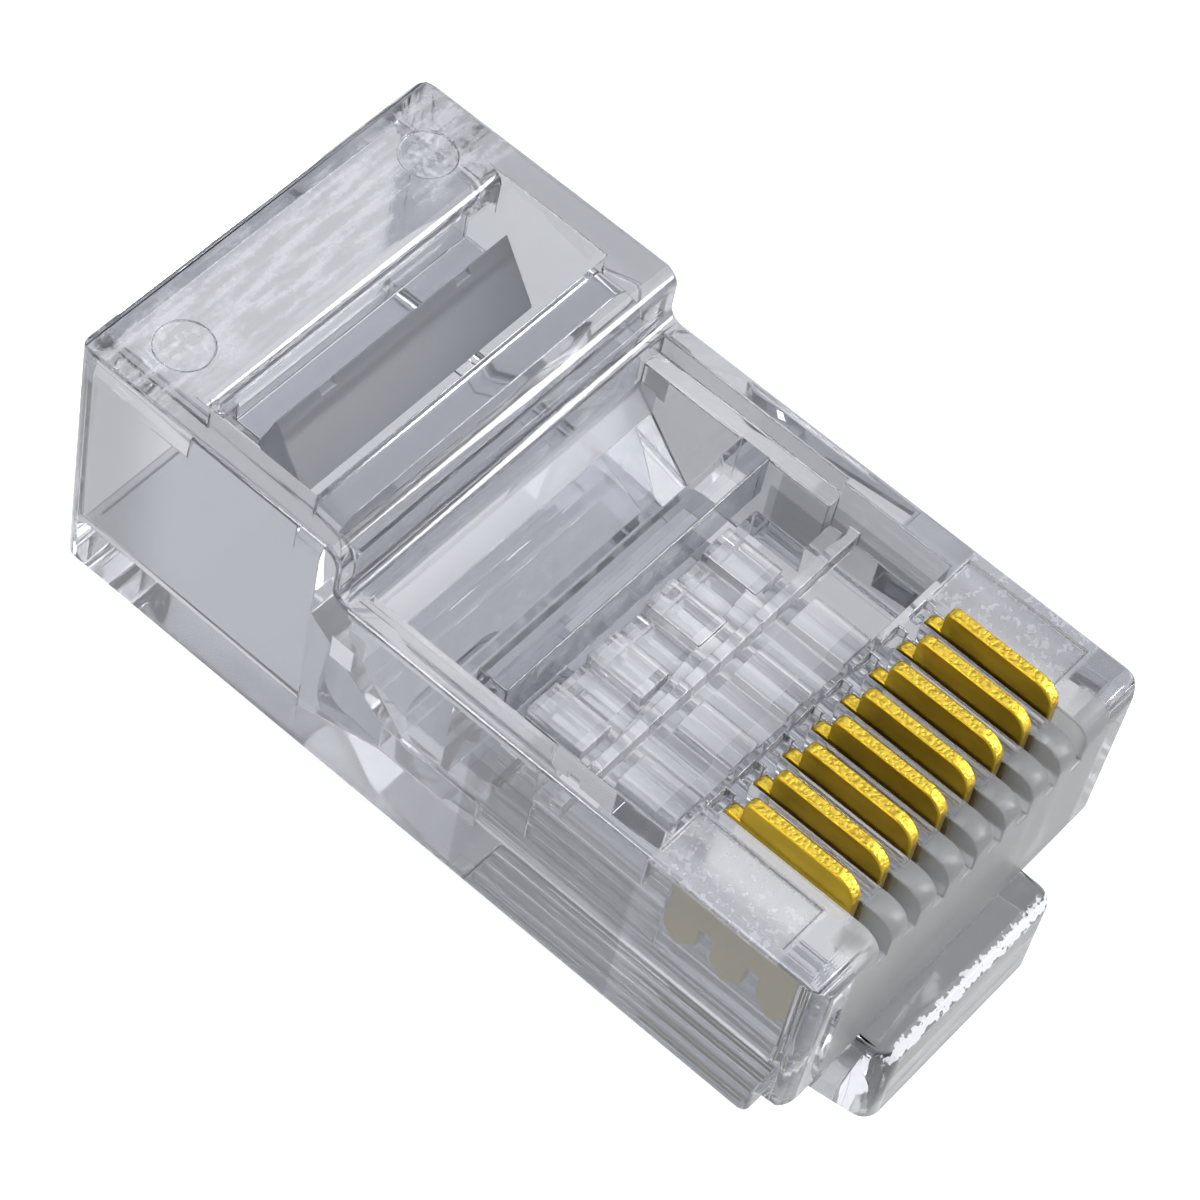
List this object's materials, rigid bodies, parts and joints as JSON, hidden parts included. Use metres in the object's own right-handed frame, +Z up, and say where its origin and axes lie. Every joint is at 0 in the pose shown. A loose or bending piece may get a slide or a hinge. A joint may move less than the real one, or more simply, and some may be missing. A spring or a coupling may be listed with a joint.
{
  "type": "modular plug",
  "caption": "Clear modular plug, uncrimped: gold blade contacts stand proud at the nose, an open conductor pocket behind, a jacket bar in the roof window and a springy latch.",
  "frame": {"origin": "middle of the width, where the plane of the nose face meets the plane of the flat underside", "axes": "+Y back along the plug from the nose to the cable end, +Z up to the contact side, +X to the side of contact 8"},
  "size_m": [0.0116, 0.0233, 0.0122],
  "materials": {
    "clear_plastic": "clear moulded polycarbonate, glossy, with frosted pads and fine scratches",
    "gold_plate": "sheared phosphor bronze blade with bright gold flash"
  },
  "bodies": {
    "housing": {"housing": "clear_plastic"},
    "latch": {"latch": "clear_plastic"},
    "contact_1": {"contact_1": "gold_plate"},
    "contact_2": {"contact_2": "gold_plate"},
    "contact_3": {"contact_3": "gold_plate"},
    "contact_4": {"contact_4": "gold_plate"},
    "contact_5": {"contact_5": "gold_plate"},
    "contact_6": {"contact_6": "gold_plate"},
    "contact_7": {"contact_7": "gold_plate"},
    "contact_8": {"contact_8": "gold_plate"}
  },
  "joints": [
    {"name": "latch_hinge", "type": "hinge", "parent": "housing", "child": "latch", "pos_m": [0, -0.00005, -0.0003], "axis": [1, 0, 0], "range_deg": [0, 11.5], "stiffness_Nm_per_rad": 0.3},
    {"name": "contact_1_crimp", "type": "slide", "parent": "housing", "child": "contact_1", "axis": [0, 0, 1], "range_m": [-0.00115, 0]},
    {"name": "contact_2_crimp", "type": "slide", "parent": "housing", "child": "contact_2", "axis": [0, 0, 1], "range_m": [-0.00115, 0]},
    {"name": "contact_3_crimp", "type": "slide", "parent": "housing", "child": "contact_3", "axis": [0, 0, 1], "range_m": [-0.00115, 0]},
    {"name": "contact_4_crimp", "type": "slide", "parent": "housing", "child": "contact_4", "axis": [0, 0, 1], "range_m": [-0.00115, 0]},
    {"name": "contact_5_crimp", "type": "slide", "parent": "housing", "child": "contact_5", "axis": [0, 0, 1], "range_m": [-0.00115, 0]},
    {"name": "contact_6_crimp", "type": "slide", "parent": "housing", "child": "contact_6", "axis": [0, 0, 1], "range_m": [-0.00115, 0]},
    {"name": "contact_7_crimp", "type": "slide", "parent": "housing", "child": "contact_7", "axis": [0, 0, 1], "range_m": [-0.00115, 0]},
    {"name": "contact_8_crimp", "type": "slide", "parent": "housing", "child": "contact_8", "axis": [0, 0, 1], "range_m": [-0.00115, 0]}
  ]
}
